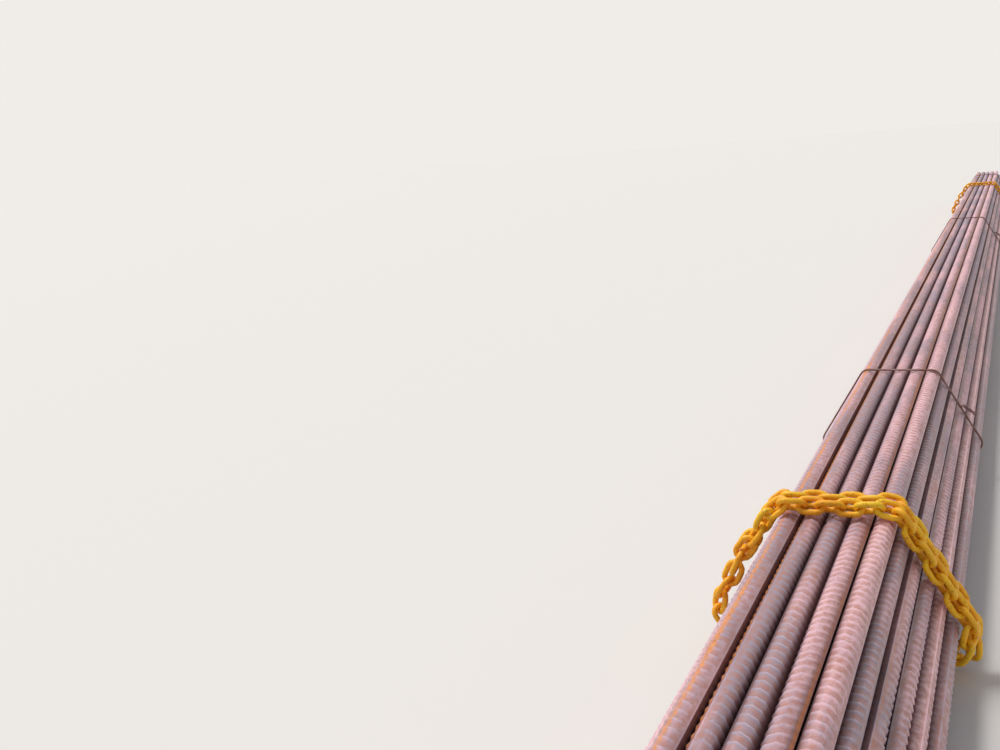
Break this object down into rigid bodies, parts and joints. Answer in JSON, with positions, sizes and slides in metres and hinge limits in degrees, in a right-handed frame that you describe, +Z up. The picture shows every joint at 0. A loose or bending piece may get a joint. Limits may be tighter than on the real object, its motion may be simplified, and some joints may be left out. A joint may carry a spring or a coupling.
{
  "type": "reinforcing bar bundle",
  "caption": "Straight stock-length bundle of ribbed steel reinforcing bars, bound with twisted wire ties and held near each end in a painted chain sling.",
  "frame": {"origin": "on the floor, under the middle of the bundle", "axes": "+Y along the bars, +Z up, +X to the right when looking along +Y; the twisted ends of the ties are on the +X flank and the joining links of the slings on the -X flank"},
  "size_m": [0.3389, 9.0439, 0.2286],
  "materials": {
    "bar_steel": "hot-rolled mill scale, grey to mauve, with light orange-brown rust",
    "chain_paint": "worn golden yellow paint over round steel links, with rust specks",
    "tie_steel": "dark brown rusted soft wire rod"
  },
  "bodies": {
    "root": {"bars_row_1": "bar_steel", "bars_row_2": "bar_steel", "bars_row_3": "bar_steel", "bars_row_4": "bar_steel", "bars_row_5": "bar_steel", "bars_row_6": "bar_steel", "bars_row_7": "bar_steel", "near_sling_chain": "chain_paint", "far_sling_chain": "chain_paint", "tie_wire_1": "tie_steel", "tie_wire_2": "tie_steel", "tie_wire_3": "tie_steel", "tie_wire_4": "tie_steel"}
  },
  "joints": []
}
